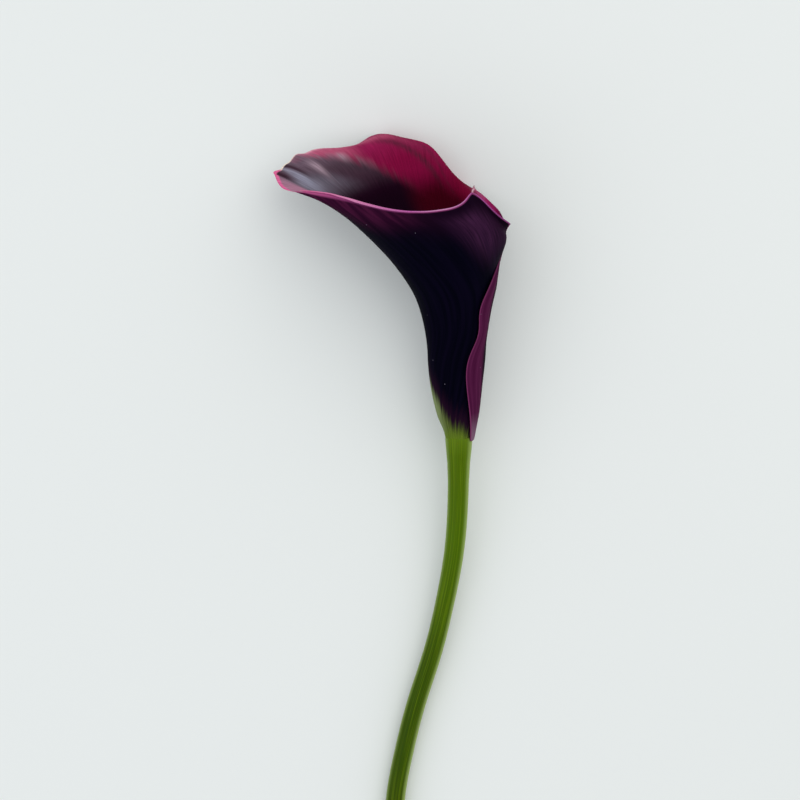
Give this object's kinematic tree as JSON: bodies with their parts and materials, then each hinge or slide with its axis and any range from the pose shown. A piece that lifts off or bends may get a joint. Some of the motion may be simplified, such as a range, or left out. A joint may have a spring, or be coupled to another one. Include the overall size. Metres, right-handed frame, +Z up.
{
  "type": "calla lily flower",
  "caption": "Cut calla lily lying down: a dark flaring spathe rolled round a finger-like spadix, at the top of a long bare stem that curves gently.",
  "frame": {"origin": "centre of the bottom of the bounding box, on the surface that the flower lies on", "axes": "+Y along the flower from the stem's cut end towards the bloom, +Z up from the surface, +X to the side that the spathe's outer margin is on"},
  "size_m": [0.0945, 0.3615, 0.0619],
  "materials": {
    "stem": "smooth, waxy green skin with fine lengthwise streaks",
    "spathe": "satin, near-black aubergine outside, crimson to maroon inside, with a pink rim",
    "spadix_female_zone": "matt yellow-green, packed with round florets",
    "spadix_male_zone": "matt golden yellow, packed with small florets"
  },
  "bodies": {
    "root": {"stem": "stem", "spathe": "spathe", "spadix_female_zone": "spadix_female_zone", "spadix_male_zone": "spadix_male_zone"}
  },
  "joints": []
}
